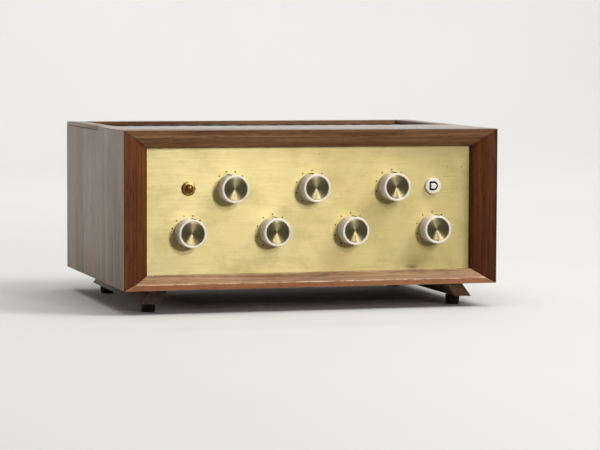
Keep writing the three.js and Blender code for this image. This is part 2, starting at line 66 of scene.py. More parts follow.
# Where each knob points at rest, in degrees clockwise from straight up.
POINTER_ANGLE = {
    "function": -15,
    "filter": -11,
    "balance": 0,
    "selector": 15,
    "bass": 0,
    "treble": 6,
    "volume": 11,
}
# Where the dots are: one for each stop of the two switches, and nine on the dial of the other controls.
STOPS = {"function": (-45, -15, 15, 45), "selector": (-75, -45, -15, 15, 45)}
FULL_DIAL = tuple(range(-144, 145, 36))
DOT_CIRCLE = 15.9  # distance of the dots from a knob's axis, in millimetres
DOT_RADIUS = 0.75


def centre(node):
    """Middle of a CAD node's box."""
    low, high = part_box(node)
    return (low + high) / 2


def front_of(node):
    """Middle of the front of a CAD node's box."""
    middle = centre(node)
    return Vector((middle.x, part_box(node)[0].y, middle.z))


def bottom_of(node):
    """Middle of the underside of a CAD node's box."""
    middle = centre(node)
    return Vector((middle.x, middle.y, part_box(node)[0].z))


def millimetres(node):
    """Size of a CAD node's box in millimetres."""
    low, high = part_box(node)
    return (high - low) / MM


# ---------------------------------------------------------------------------------------------------------
# Materials


class Nodes:
    """A new material's node tree, with short calls for adding and linking nodes."""

    def __init__(self, name):
        self.material = bpy.data.materials.new(name)
        self.material.use_nodes = True
        self.tree = self.material.node_tree
        self.shader = self.tree.nodes["Principled BSDF"]
        self.place = self.add("TexCoord").outputs["Object"]

    def add(self, kind, values=None, **settings):
        """Adds a node. Sockets among its values are linked, and the others are set."""
        node = self.tree.nodes.new("ShaderNode" + kind)
        for key, value in settings.items():
            setattr(node, key, value)
        for key, value in (values or {}).items():
            if isinstance(value, bpy.types.NodeSocket):
                self.tree.links.new(value, node.inputs[key])
            else:
                node.inputs[key].default_value = value
        return node

    def scaled(self, scale, shift=(0, 0, 0)):
        """Object coordinates, stretched and shifted."""
        return self.add("Mapping", {"Vector": self.place, "Scale": scale, "Location": shift}).outputs[0]

    def noise(self, scale, stretch=(1, 1, 1), detail=3, roughness=0.5, shift=(0, 0, 0), distortion=0):
        """Noise of the given scale per metre, from 0 to 1."""
        vector = self.scaled([scale * axis for axis in stretch], shift)
        values = {"Vector": vector, "Scale": 1.0, "Detail": detail}
        values.update({"Roughness": roughness, "Distortion": distortion})
        return self.add("TexNoise", values).outputs["Fac"]

    def remap(self, value, low, high, to_low=0.0, to_high=1.0):
        """The value spread from low..high to to_low..to_high, and held inside it."""
        values = {"Value": value, "From Min": low, "From Max": high, "To Min": to_low, "To Max": to_high}
        return self.add("MapRange", values, clamp=True).outputs[0]

    def math(self, operation, a, b):
        return self.add("Math", {0: a, 1: b}, operation=operation).outputs[0]

    def mix(self, factor, a, b, blend="MIX"):
        """Colour a at factor 0 and colour b at factor 1."""
        node = self.add("Mix", data_type="RGBA", blend_type=blend)
        for index, value in ((0, factor), (6, a), (7, b)):
            if isinstance(value, bpy.types.NodeSocket):
                self.tree.links.new(value, node.inputs[index])
            else:
                node.inputs[index].default_value = value
        return node.outputs[2]

    def colours(self, value, stops):
        """A colour ramp through (position, colour) stops."""
        ramp = self.add("ValToRGB", {"Fac": value})
        elements = ramp.color_ramp.elements
        while len(elements) < len(stops):
            elements.new(0.5)
        for element, (position, colour) in zip(elements, stops):
            element.position = position
            element.color = colour
        return ramp.outputs[0]

    def axis(self, name):
        """One coordinate of the object's own frame."""
        return self.add("SeparateXYZ", {0: self.place}).outputs[name]

    def spot(self, x, z, length, width, tilt=0.0, soft=0.3):
        """1 inside an oval patch seen from the front, fading to 0 at its edge. tilt is in degrees."""
        values = {"Vector": self.place, "Location": (x, 0, z), "Rotation": (0, math.radians(-tilt), 0)}
        values["Scale"] = (length / 2, 1, width / 2)
        flat = self.add("Mapping", values, vector_type="TEXTURE").outputs[0]
        flat = self.add("VectorMath", {0: flat, 1: (1, 0, 1)}, operation="MULTIPLY").outputs[0]
        away = self.add("VectorMath", {0: flat}, operation="LENGTH").outputs["Value"]
        return self.remap(away, 1.0, soft)

    def bump(self, height, strength, distance=0.0002):
        return self.add("Bump", {"Height": height, "Strength": strength, "Distance": distance}).outputs[0]

    def set(self, **values):
        """Sets or links the shader's own sockets, with _ for a space in their names."""
        for key, value in values.items():
            socket = self.shader.inputs[key.replace("_", " ")]
            if isinstance(value, bpy.types.NodeSocket):
                self.tree.links.new(value, socket)
            else:
                socket.default_value = value
        return self.material


def rgb(red, green, blue):
    """A colour given as the eye sees it, from 0 to 255, for a shader socket."""
    def linear(value):
        value /= 255
        return value / 12.92 if value <= 0.04045 else ((value + 0.055) / 1.055) ** 2.4
    return (linear(red), linear(green), linear(blue), 1.0)


def dimmed(colour, factor):
    """The same colour, darker below a factor of 1 and lighter above it."""
    return [part * factor for part in colour[:3]] + [1.0]


def along(grain, share):
    """The scale of a pattern along each axis, smaller along the grain, so that it is drawn out that way."""
    return [share if axis == grain else 1.0 for axis in "XYZ"]


def wood(name, grain, tones, roughness, seed, shine, lower=None):
    """Oiled walnut with its grain along one axis: slow bands of colour, fine streaks and open pores.
    Its last argument is a height, and a darker colour painted below it as painted shade."""
    n = Nodes(name)
    dark, mid, light = tones
    shift = (seed * 3.1, seed * 5.7, seed * 1.3)
    bands = n.noise(42, along(grain, 0.05), 4, 0.55, shift, 0.6)
    streaks = n.noise(330, along(grain, 0.02), 5, 0.65, shift)
    pores = n.noise(1300, along(grain, 0.06), 2, 0.5, shift)
    clouds = n.noise(9, (1, 1, 1), 2, 0.5, shift)
    figure = n.math("ADD", n.math("MULTIPLY", bands, 0.45), n.math("MULTIPLY", streaks, 0.55))
    colour = n.colours(figure, [(0.36, dark), (0.5, mid), (0.64, light)])
    colour = n.mix(n.remap(clouds, 0.35, 0.7, 0.0, 0.4), colour, dark)
    blotches = n.noise(48, along(grain, 0.4), 4, 0.65, shift)
    colour = n.mix(n.remap(blotches, 0.55, 0.72, 0.0, 0.5), colour, dark)
    # Painted shade below the given height.
    if lower:
        height, tone = lower
        colour = n.mix(n.remap(n.axis("Z"), height, height - 0.6 * MM, 0.0, 0.8), colour, tone)
    pits = n.remap(pores, 0.54, 0.66)
    colour = n.mix(n.math("MULTIPLY", pits, 0.5), colour, dimmed(dark, 0.4))
    height = n.math("SUBTRACT", n.math("MULTIPLY", streaks, 0.5), pits)
    return n.set(
        Base_Color=colour,
        Specular_IOR_Level=shine,
        Roughness=n.remap(streaks, 0.3, 0.7, roughness - 0.06, roughness + 0.1),
        Normal=n.bump(height, 0.35, 0.00012),
    )


def worn_edge(name, grain, dark, light):
    """The rubbed arrises of the boards, where the finish has gone and the paler wood shows in places."""
    n = Nodes(name)
    patches = n.noise(70, (1, 1, 1), 4, 0.7)
    fibres = n.noise(600, along(grain, 0.05), 3, 0.6)
    wear = n.remap(n.math("ADD", patches, n.math("MULTIPLY", fibres, 0.4)), 0.6, 0.85)
    return n.set(Base_Color=n.mix(wear, dark, light), Roughness=0.6, Normal=n.bump(fibres, 0.4, 0.0002))


def brass_marks():
    """Scratches, specks and stains of the faceplate, and one broad soft darker patch below the volume knob:
    x, z, length and width, tilt in degrees, the share of the radius that is at full strength, and the
    strength."""
    switch, volume, tone_filter = centre("switch_collar"), centre("knob_volume"), centre("knob_filter")
    marks = [
        (switch, 18.3, 8.8, 17, 0.5, 3, 0.5, 0.8),
        (switch, 15.2, 17.9, 2.2, 1.2, 0, 0.4, 0.6),
        (switch, 29.5, 17.7, 2.4, 1.8, 0, 0.4, 0.7),
        (switch, 31, -2.1, 1.6, 1.6, 0, 0.4, 0.6),
        (tone_filter, 7, 31, 3.4, 0.7, 8, 0.5, 0.7),
        (tone_filter, 44, 23, 1.3, 1.3, 0, 0.5, 0.5),
        (volume, -21, -36.5, 17, 6, 0, 0.0, 0.7),
        (volume, -19, -37.5, 8, 3, 0, 0.2, 0.6),
        # A broad soft patch below and left of the volume knob, where the brass is only made darker.
        (volume, -15, -32, 50, 14, 0, 0.0, 0.3),
        (volume, 17, -18.5, 1.2, 1.2, 0, 0.4, 0.7),
        (volume, -64, -36, 50, 3, 0, 0.0, 0.25),
    ]
    return [
        (place.x + x * MM, place.z + z * MM, length * MM, width * MM, tilt, soft, strength)
        for place, x, z, length, width, tilt, soft, strength in marks
    ]


def brushed_brass():
    """Lacquered brass sheet, brushed from side to side, with tarnish, a few rubbed places, and painted shade
    that darkens it towards the right.
    """
    n = Nodes("brushed_brass")
    lines = n.noise(4200, (0.012, 1, 1), 3, 0.7)
    broad = n.noise(900, (0.05, 1, 1), 3, 0.6)
    clouds = n.noise(11, (0.8, 1, 1), 4, 0.6)
    spots = n.noise(55, (1, 1, 1), 3, 0.7, (4, 0, 2))
    right = n.remap(n.axis("X"), -0.12, 0.17)
    low = n.remap(n.axis("Z"), 0.052, 0.037)
    corner = n.math("MULTIPLY", right, low)
    # Painted shade: the brass is painted darker and made rougher towards the right of the plate, for its
    # dimmer reflection there, mixed with random duller clouds.
    dull = n.math("ADD", n.math("MULTIPLY", right, 0.5), n.remap(clouds, 0.45, 0.75, 0.0, 0.35))
    smudges = n.noise(34, (0.7, 1, 1), 5, 0.65, (1, 0, 5))
    colour = n.mix(n.remap(broad, 0.3, 0.7), rgb(228, 211, 151), rgb(238, 223, 164))
    colour = n.mix(dull, colour, rgb(210, 190, 126))
    colour = n.mix(n.remap(smudges, 0.48, 0.7, 0.0, 0.5), colour, rgb(184, 170, 108))
    corner_spots = n.math("MULTIPLY", corner, n.remap(spots, 0.55, 0.75, 0.0, 0.5))
    colour = n.mix(corner_spots, colour, rgb(120, 108, 66))
    colour = n.mix(n.remap(spots, 0.66, 0.8, 0.0, 0.3), colour, rgb(150, 130, 70))
    for x, z, length, width, tilt, soft, strength in brass_marks():
        mark = n.math("MULTIPLY", n.spot(x, z, length, width, tilt, soft), strength)
        broken = n.math("MULTIPLY", mark, n.remap(spots, 0.3, 0.55, 0.5, 1.0))
        colour = n.mix(broken, colour, rgb(96, 64, 20))
    roughness = n.math("ADD", n.remap(lines, 0.3, 0.7, 0.36, 0.48), n.math("MULTIPLY", dull, 0.06))
    return n.set(
        Base_Color=colour,
        Metallic=1.0,
        Roughness=roughness,
        Anisotropic=0.7,
        Tangent=n.add("CombineXYZ", {"Z": 1.0}).outputs[0],
        Normal=n.bump(lines, 0.1, 0.00006),
    )


def moulded(name, colour, stain, roughness=0.32, bump=0.05):
    """Moulded plastic with a little yellowing and fine handling marks."""
    n = Nodes(name)
    patches = n.noise(90, (1, 1, 1), 4, 0.6)
    grime = n.noise(700, (1, 1, 1), 3, 0.7)
    tint = n.mix(n.remap(patches, 0.4, 0.75, 0.0, 0.6), colour, stain)
    tint = n.mix(n.remap(grime, 0.62, 0.8, 0.0, 0.25), tint, stain)
    return n.set(
        Base_Color=tint,
        Roughness=n.remap(grime, 0.3, 0.7, roughness - 0.05, roughness + 0.08),
        Normal=n.bump(grime, bump, 0.0001),
        Coat_Weight=0.25,
        Coat_Roughness=0.15,
    )


def spun_metal(name, colour, dull):
    """Metal turned on a lathe about Y: fine rings, and reflections that open in a fan from the centre."""
    n = Nodes(name)
    across = n.add("VectorMath", {0: n.place, 1: (1, 0, 1)}, operation="MULTIPLY").outputs[0]
    radius = n.add("VectorMath", {0: across}, operation="LENGTH").outputs["Value"]
    ring_place = n.math("MULTIPLY", radius, 6500)
    rings = n.add("TexNoise", {"W": ring_place, "Detail": 2}, noise_dimensions="1D").outputs[0]
    soil = n.noise(160, (1, 1, 1), 3, 0.6)
    tint = n.mix(n.remap(soil, 0.4, 0.8, 0.0, 0.5), colour, dull)
    tangent = n.add("Tangent", direction_type="RADIAL", axis="Y").outputs[0]
    return n.set(
        Base_Color=n.mix(n.remap(rings, 0.3, 0.7, 0.0, 0.25), tint, dull),
        Metallic=1.0,
        Roughness=n.remap(rings, 0.3, 0.7, 0.34, 0.46),
        Anisotropic=0.97,
        Anisotropic_Rotation=0.25,
        Tangent=tangent,
        Normal=n.bump(rings, 0.1, 0.00003),
    )


def metal(name, colour, roughness=0.35, tarnish=None, metallic=1.0, scale=300, bump=0.08):
    """Plain plated or painted metal with uneven gloss and slight soiling."""
    n = Nodes(name)
    grime = n.noise(scale, (1, 1, 1), 4, 0.65)
    clouds = n.noise(scale / 9, (1, 1, 1), 3, 0.5)
    tint = n.mix(n.remap(clouds, 0.4, 0.75, 0.0, 0.6), colour, tarnish or dimmed(colour, 0.6))
    return n.set(
        Base_Color=tint,
        Metallic=metallic,
        Roughness=n.remap(grime, 0.3, 0.7, roughness - 0.08, roughness + 0.12),
        Normal=n.bump(grime, bump, 0.0001),
    )


def matte(name, colour, dust):
    """Rubber, dead-flat ink, and the black that stands for shade in the switch's mouth, a little dusty."""
    n = Nodes(name)
    fine = n.noise(1800, (1, 1, 1), 3, 0.7)
    clouds = n.noise(120, (1, 1, 1), 3, 0.6)
    tint = n.mix(n.remap(clouds, 0.45, 0.8, 0.0, 0.5), colour, dust)
    return n.set(Base_Color=tint, Roughness=0.75, Specular_IOR_Level=0.25, Normal=n.bump(fine, 0.3, 0.0001))


def clear(name, colour, roughness):
    """Glass with a slight haze."""
    n = Nodes(name)
    haze = n.noise(400, (1, 1, 1), 2, 0.5)
    return n.set(
        Base_Color=n.mix(n.remap(haze, 0.4, 0.8, 0.0, 0.2), colour, dimmed(colour, 0.7)),
        Roughness=n.remap(haze, 0.3, 0.7, roughness, roughness + 0.06),
        Transmission_Weight=1.0,
        IOR=1.5,
    )


def laminations():
    """The edges of a stack of varnished iron sheets, which lie one behind the other along Y."""
    n = Nodes("laminations")
    sheets = n.noise(2400, (0.01, 1, 0.01), 2, 0.6)
    varnish = n.noise(60, (1, 1, 1), 3, 0.6)
    tint = n.mix(n.remap(sheets, 0.35, 0.65), rgb(44, 46, 52), rgb(84, 86, 92))
    tint = n.mix(n.remap(varnish, 0.5, 0.8, 0.0, 0.5), tint, rgb(70, 50, 32))
    return n.set(
        Base_Color=tint,
        Metallic=0.5,
        Roughness=n.remap(varnish, 0.3, 0.7, 0.3, 0.5),
        Normal=n.bump(sheets, 0.4, 0.0002),
    )


def studio_paper():
    """Matt pale paper for the floor and the wall behind."""
    n = Nodes("studio_paper")
    tint = n.mix(n.noise(3), rgb(212, 211, 208), rgb(216, 215, 212))
    return n.set(Base_Color=tint, Roughness=0.9, Specular_IOR_Level=0.1, Normal=n.bump(n.noise(900), 0.05))


def toned(tones, factor):
    """The same wood, lighter or darker."""
    return [dimmed(tone, factor) for tone in tones]


# Painted shade: the lower frame is painted darker below its front arris, 5.4 mm up from its bottom, on its
# flat front which faces away from the light above.
SHADE_BELOW_ARRIS = (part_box("bezel_bottom")[0].z + 5.4 * MM, rgb(150, 92, 56))
RED_TONES = rgb(64, 28, 8), rgb(104, 54, 22), rgb(132, 76, 34)
BROWN_TONES = rgb(68, 42, 22), rgb(118, 80, 48), rgb(146, 106, 70)
# Painted light: the lower frame's tones are paler than the other frames', for the light on its bevel, which
# faces up.
LIT_PALE_TONES = rgb(98, 64, 38), rgb(166, 126, 88), rgb(200, 162, 122)
# Painted reflection: the sides and the vent rails are greyed in their colour for the pale sheen they reflect
# at a glancing angle, over the walnut's own grain.
SHEEN_GREY_TONES = rgb(78, 62, 48), rgb(136, 115, 95), rgb(162, 142, 120)
TOP_TONES = rgb(84, 62, 46), rgb(126, 100, 78), rgb(150, 124, 100)
RUNNER_TONES = rgb(52, 34, 22), rgb(90, 64, 44), rgb(116, 88, 64)

# Each board: the axis of its grain, its tones, the roughness of its finish, and how much it shines.
BOARDS = {
    "case_side_left": ("Z", SHEEN_GREY_TONES, 0.42, 0.5),
    "case_side_right": ("Z", SHEEN_GREY_TONES, 0.42, 0.5),
    "case_top": ("X", TOP_TONES, 0.2, 0.6),
    "case_bottom": ("X", BROWN_TONES, 0.5, 0.25),
    "vent_rail_left": ("Y", SHEEN_GREY_TONES, 0.3, 0.25),
    "vent_rail_right": ("Y", SHEEN_GREY_TONES, 0.3, 0.25),
    "vent_rail_rear": ("X", toned(BROWN_TONES, 1.3), 0.35, 0.25),
    "bezel_left": ("Z", toned(RED_TONES, 0.92), 0.5, 0.15),
    "bezel_right": ("Z", toned(RED_TONES, 0.9), 0.5, 0.15),
    "bezel_top": ("X", BROWN_TONES, 0.5, 0.2),
    "bezel_bottom": ("X", LIT_PALE_TONES, 0.42, 0.25),
    # The runners are one wood: the left one is painted darker (painted shade) and the right one lighter
    # (painted light).
    "runner_left": ("Y", toned(RUNNER_TONES, 0.6), 0.5, 0.25),
    "runner_right": ("Y", toned(RUNNER_TONES, 1.2), 0.5, 0.25),
}
EASING = 0.45 * MM  # radius of the boards' rubbed edges
FAINT_WEAR = {
    axis: worn_edge("worn_edge_" + axis.lower(), axis, rgb(88, 52, 30), rgb(122, 86, 60))
    for axis in "XYZ"
}
STRONG_WEAR = worn_edge("worn_edge_bottom", "X", rgb(150, 108, 74), rgb(226, 200, 166))
BRASS = brushed_brass()
IVORY = moulded("ivory_plastic", rgb(238, 232, 220), rgb(222, 208, 184))
SPUN = spun_metal("spun_inlay", rgb(196, 182, 138), rgb(136, 120, 80))
POINTER = moulded("pointer_line", rgb(134, 84, 62), rgb(96, 56, 40), 0.5)
PLATED = metal("plated_steel", rgb(190, 188, 180), 0.3)
STEEL = metal("chassis_paint", rgb(132, 134, 132), 0.45, metallic=0.5)
GRILLE = metal("grille_paint", rgb(34, 32, 31), 0.55, metallic=0.2, scale=700)
RUBBER = matte("rubber", rgb(24, 22, 21), rgb(52, 48, 45))
# Painted shade: black for the lining of the switch's mouth.
SHADE_BLACK = matte("shade_black", rgb(18, 9, 6), rgb(28, 16, 10))
GILT = metal("gilt_bezel", rgb(240, 198, 122), 0.42, rgb(196, 144, 76), scale=500)
JEWEL = metal("amber_jewel", rgb(156, 104, 42), 0.16, rgb(96, 60, 22), metallic=0.7, bump=0.02)
BLACK = moulded("black_plastic", rgb(30, 30, 32), rgb(50, 48, 46), 0.4, 0.1)
PHENOLIC = moulded("brown_laminate", rgb(74, 46, 30), rgb(48, 30, 20), 0.45, 0.1)
INK = matte("printed_ink", rgb(14, 8, 4), rgb(26, 16, 8))
PAPER = studio_paper()
BRASS_SCREW = metal("brass_screw", rgb(196, 168, 104), 0.35, rgb(128, 104, 60))
LAMINATED = laminations()
TAPE = moulded("winding_tape", rgb(196, 168, 112), rgb(140, 108, 62), 0.5, 0.3)
ANODE = metal("anode_metal", rgb(84, 84, 88), 0.5, metallic=0.8)
GETTER = metal("getter_flash", rgb(176, 176, 180), 0.12, rgb(60, 56, 56))
ALUMINIUM = metal("aluminium_can", rgb(200, 202, 204), 0.32, rgb(150, 152, 154))
GLASS = clear("valve_glass", rgb(240, 244, 244), 0.02)


def paint(node, *materials):
    """Gives a CAD node its materials, the first one for its faces and a second one for its eased edges."""
    data = NODES[node].data
    data.materials.clear()
    for material in materials:
        data.materials.append(material)


def ease_edges(node, width):
    """Rounds the sharp edges of a CAD node, and gives the rounded strips its second material."""
    piece = NODES[node]
    weld = piece.modifiers.new("weld", "WELD")
    weld.merge_threshold = 0.01 * MM
    bevel = piece.modifiers.new("eased_edges", "BEVEL")
    bevel.width = width
    bevel.segments = 3
    bevel.limit_method = "ANGLE"
    bevel.angle_limit = math.radians(25)
    bevel.harden_normals = True
    bevel.material = 1
    piece.data.shade_smooth()


for seed, (node, (grain, tones, roughness, shine)) in enumerate(BOARDS.items(), 1):
    is_lower_frame = node == "bezel_bottom"
    lower = SHADE_BELOW_ARRIS if is_lower_frame else None
    paint(
        node,
        wood("walnut_" + node, grain, tones, roughness, seed, shine, lower),
        STRONG_WEAR if is_lower_frame else FAINT_WEAR[grain],
    )
    ease_edges(node, EASING)

for node, material in {
    "faceplate": BRASS,
    "chassis": STEEL,
    "rear_panel": STEEL,
    "vent_grille": GRILLE,
    "switch_body": BLACK,
}.items():
    paint(node, material)
for name in CONTROLS:
    kind = "wafer_switch_" if name in STOPS else "potentiometer_"
    paint(kind + name, PLATED)
    paint("shaft_" + name, PLATED)

# ---------------------------------------------------------------------------------------------------------
# Mesh building: shapes are in millimetres, made round their own Y axis with the front towards -Y, and the
# place where a shape goes is in metres.

UPRIGHT = Matrix.Rotation(math.pi / 2, 3, "X")  # the front goes down
FACE_UP = Matrix.Rotation(-math.pi / 2, 3, "X")
FACE_BACK = Matrix.Rotation(math.pi, 3, "Z")


def finish_piece(name, bm, material, stands_for=(), body="case", crease=35):
    """Makes an object of bm, smooth but for edges sharper than crease degrees, and puts it in the frame."""
    bmesh.ops.recalc_face_normals(bm, faces=bm.faces)
    mesh = bpy.data.meshes.new(name)
    bm.to_mesh(mesh)
    bm.free()
    mesh.materials.append(material)
    mesh.shade_smooth()
    mesh.set_sharp_from_angle(angle=math.radians(crease))
    piece = bpy.data.objects.new(name, mesh)
    bpy.context.scene.collection.objects.link(piece)
    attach(piece, body)
    if stands_for:
        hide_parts(*stands_for)
    return piece


def loft(bm, loops, at=(0, 0, 0), turn=None, ends="point"):
    """Adds a body through loops of (x, y, z) points to bm. It closes at loops of one point with ends
    "point", by filled loops with "fill", or with its last loop joined to the first one with "join"."""
    turn = turn or Matrix.Identity(3)
    rings = [[bm.verts.new(Vector(at) + turn @ Vector(point) * MM) for point in loop] for loop in loops]
    pairs = list(zip(rings, rings[1:])) + ([(rings[-1], rings[0])] if ends == "join" else [])
    for first, second in pairs:
        for step in range(max(len(first), len(second))):
            corners = [
                first[step % len(first)],
                first[(step + 1) % len(first)],
                second[(step + 1) % len(second)],
                second[step % len(second)],
            ]
            bm.faces.new(list(dict.fromkeys(corners)))
    if ends == "fill":
        bm.faces.new(rings[0])
        bm.faces.new(rings[-1])


def circle(radius, y, segments=64):
    """Points round the Y axis, or the one point on it for radius 0."""
    turns = [2 * math.pi * step / segments for step in range(segments if radius else 1)]
    return [(radius * math.sin(turn), y, radius * math.cos(turn)) for turn in turns]


def d_loop(radius, y):
    """A letter D round the Y axis: half a circle on the right, half an eased square on the left."""
    squareness = 9
    loop = []
    for x, height, z in circle(1.0, y):
        reach = 1.0 if x >= 0 else (abs(x) ** squareness + abs(z) ** squareness) ** (-1 / squareness)
        loop.append((radius * reach * x, height, radius * reach * z))
    return loop


def rounded(width, height, radius, y, steps=5):
    """A rectangle round the Y axis with round corners."""
    points = []
    for quarter in range(4):
        side_x = (1, -1, -1, 1)[quarter] * (width / 2 - radius)
        side_z = (1, 1, -1, -1)[quarter] * (height / 2 - radius)
        for step in range(steps):
            turn = math.pi / 2 * (quarter + step / (steps - 1))
            points.append((side_x + radius * math.cos(turn), y, side_z + radius * math.sin(turn)))
    return points


def lathe(bm, profile, at=(0, 0, 0), segments=64, turn=None):
    """Adds a body turned about Y, from (radius, y) points, to bm: a ring, unless it starts at radius 0."""
    loops = [circle(radius, y, segments) for radius, y in profile]
    loft(bm, loops, at, turn, "join" if profile[0][0] else "point")


def slab(bm, width, height, radius, front, back, edge, at=(0, 0, 0), turn=None):
    """Adds a plate with round corners to bm, from front to back along Y, with eased edges at its front."""
    loops = [
        rounded(width - 2 * edge, height - 2 * edge, max(radius - edge, edge), front),
        rounded(width, height, radius, front + edge),
        rounded(width, height, radius, back),
    ]
    loft(bm, loops, at, turn, "fill")


def screw(bm, radius, at, turn=None, slot_turn=0.0):
    """Adds a pan head with a screwdriver slot to bm: a low disc, and the two halves of the dome on it."""
    turn = (turn or Matrix.Identity(3)) @ Matrix.Rotation(slot_turn, 3, "Y")
    tall = radius * 0.6
    half_slot = radius * 0.16
    lathe(bm, [(0, -0.4 * tall), (radius, -0.4 * tall), (radius, 0), (0, 0)], at, 32, turn)
    reach = math.acos(half_slot / radius)
    arc = [reach * (step / 8 - 1) for step in range(17)]
    for side in (-1, 1):
        loops = []
        for scale, y in ((0.99, -0.3), (0.99, -0.62), (0.9, -0.85), (0.7, -1.0)):
            across = [side * max(half_slot, radius * scale * math.cos(angle)) for angle in arc]
            loops.append([(x, y * tall, radius * scale * math.sin(angle)) for x, angle in zip(across, arc)])
        loft(bm, loops, at, turn, "fill")


def block(bm, low, high, at=(0, 0, 0), turn=None):
    """Adds a box to bm."""
    turn = turn or Matrix.Identity(3)
    low, high = Vector(low), Vector(high)
    for vert in bmesh.ops.create_cube(bm, size=1.0)["verts"]:
        corner = (low + high) / 2 + vert.co * (high - low)
        vert.co = Vector(at) + turn @ corner * MM


def round_edges(bm, radius, segments=2):
    bmesh.ops.bevel(bm, geom=bm.edges, offset=radius * MM, segments=segments, affect="EDGES")


def centred_row(count, pitch):
    """Where count things stand in a row about 0, in metres."""
    return [(index - (count - 1) / 2) * pitch * MM for index in range(count)]


# ---------------------------------------------------------------------------------------------------------
# Knobs

INLAY_RADIUS = 11
INLAY_DROP = 0.9  # how far the rim of an inlay lies behind the front of its knob
DISH_DEPTH = 2.8  # how far the middle of an inlay lies behind its rim


def knob_cap(name, body, at, depth):
    """The moulded cap: a cup for the inlay in front, and a skirt round a sleeve for the shaft behind."""
    cup = [(0, 4.6), (11.1, 4.6), (11.12, 0.5), (11.25, 0.15), (11.55, 0.0)]
    rim = [(12.6, 0.02), (12.95, 0.16), (13.12, 0.42), (13.18, 0.9), (13.25, 2.4)]
    skirt = [(13.35, depth - 0.3), (13.1, depth), (10.9, depth), (10.8, 8.2)]
    sleeve = [(5.4, 8.0), (5.4, depth - 4), (3.3, depth - 4), (3.3, 6.4), (0, 6.4)]
    bm = bmesh.new()
    lathe(bm, cup + rim + skirt + sleeve, at, 96)
    finish_piece("knob_cap_" + name, bm, IVORY, ["knob_" + name], body, 50)


def knob_pointer(name, body, at, depth):
    """The line along the side of a knob that shows its setting."""
    turn = Matrix.Rotation(math.radians(POINTER_ANGLE[name]), 3, "Y")
    bm = bmesh.new()
    block(bm, (-0.55, 3.6, 13.0), (0.55, depth - 0.2, 13.9), at, turn)
    round_edges(bm, 0.25)
    finish_piece("knob_pointer_" + name, bm, POINTER, (), body)


def spun_inlay(name, body, at):
    """The dished metal disc. Its object's origin is on its axis, so that its turned rings run round it."""
    back = [(0, 4.3), (11.0, 4.3), (11.05, 0.95)]
    radii = (10.95, 9, 7, 5, 3, 1, 0.2, 0)
    dish = [(radius, INLAY_DROP + DISH_DEPTH * (1 - radius / INLAY_RADIUS)) for radius in radii]
    bm = bmesh.new()
    lathe(bm, back + dish, (0, 0, 0), 128)
    piece = finish_piece("spun_inlay_" + name, bm, SPUN, ["knob_inlay_" + name], body, 50)
    piece.matrix_world = Matrix.Translation(at)


def dial_dots():
    """The dots round all the controls, printed on the faceplate."""
    dot = [(0, -0.05), (DOT_RADIUS * 0.8, -0.05), (DOT_RADIUS, 0.02), (0, 0.02)]
    plate_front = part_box("faceplate")[0].y
    bm = bmesh.new()
    for name in CONTROLS:
        hub = centre("knob_inlay_" + name)
        for angle in STOPS.get(name, FULL_DIAL):
            x = hub.x + DOT_CIRCLE * MM * math.sin(math.radians(angle))
            z = hub.z + DOT_CIRCLE * MM * math.cos(math.radians(angle))
            lathe(bm, dot, (x, plate_front, z), 12)
    finish_piece("dial_dots", bm, INK)


for name in CONTROLS:
    hub = centre("knob_inlay_" + name)
    knob_front = Vector((hub.x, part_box("knob_" + name)[0].y, hub.z))
    knob_depth = millimetres("knob_" + name).y
    body = f"knob_{name}_body"
    knob_cap(name, body, knob_front, knob_depth)
    knob_pointer(name, body, knob_front, knob_depth)
    spun_inlay(name, body, knob_front)
dial_dots()

# ---------------------------------------------------------------------------------------------------------
# Lamp and switch


def pilot_lamp():
    """A stepped metal bezel, with a domed jewel standing out of it."""
    at = front_of("lamp_bezel")
    face = [(3.9, 0.7), (4.25, 0.4), (4.7, 0.5), (5.2, 1.0), (5.6, 1.25), (6.0, 1.7), (6.5, 2.3), (6.7, 2.8)]
    barrel = [(6.7, 3.2), (4.6, 3.2), (4.6, 15.8), (3.9, 15.8)]
    bm = bmesh.new()
    lathe(bm, face + barrel, at, 64)
    finish_piece("lamp_ring", bm, GILT, ["lamp_bezel"])
    dome = [(0, -2.7), (0.8, -2.6), (1.6, -2.3), (2.3, -1.75), (2.9, -1.0), (3.35, 0), (3.6, 1.2)]
    stem = [(3.85, 1.4), (3.85, 14.5), (0, 14.5)]
    bm = bmesh.new()
    lathe(bm, dome + stem, at, 48)
    finish_piece("lamp_lens", bm, JEWEL, ["lamp_jewel"])


def mains_switch():
    """A collar with a D-shaped mouth, lined with black that stands for the shade in it (painted shade), and
    the D-shaped dolly that rocks in it.
    """
    at = front_of("switch_collar")
    depth = millimetres("switch_collar").y
    outside = [(7.6, depth), (7.7, 1.1), (7.55, 0.5), (7.15, 0.12), (6.6, 0.0)]
    mouth = [(4.45, 0.0), (4.32, 0.12), (4.3, 0.5), (4.3, depth)]
    bm = bmesh.new()
    loft(bm, [circle(*point) for point in outside] + [d_loop(*point) for point in mouth], at, None, "join")
    finish_piece("collar", bm, IVORY, ["switch_collar"])
    # Painted shade: a black lining in the mouth, for the shade round the dolly.
    shade_lining = [(4.29, 0.2), (3.7, 0.25), (3.7, 1.6), (3.6, 1.6), (3.6, 2.0), (4.29, 2.0)]
    bm = bmesh.new()
    loft(bm, [d_loop(*point) for point in shade_lining], at, None, "join")
    finish_piece("switch_shade_liner", bm, SHADE_BLACK)
    dolly = [(2.0, 0.0), (2.35, 0.08), (2.55, 0.35), (2.6, 0.8), (2.6, millimetres("switch_dolly").y)]
    dolly_front = (at.x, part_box("switch_dolly")[0].y, at.z)
    bm = bmesh.new()
    loft(bm, [d_loop(*point) for point in dolly], dolly_front, None, "fill")
    finish_piece("dolly", bm, IVORY, ["switch_dolly"], "mains_switch_dolly")


pilot_lamp()
mains_switch()

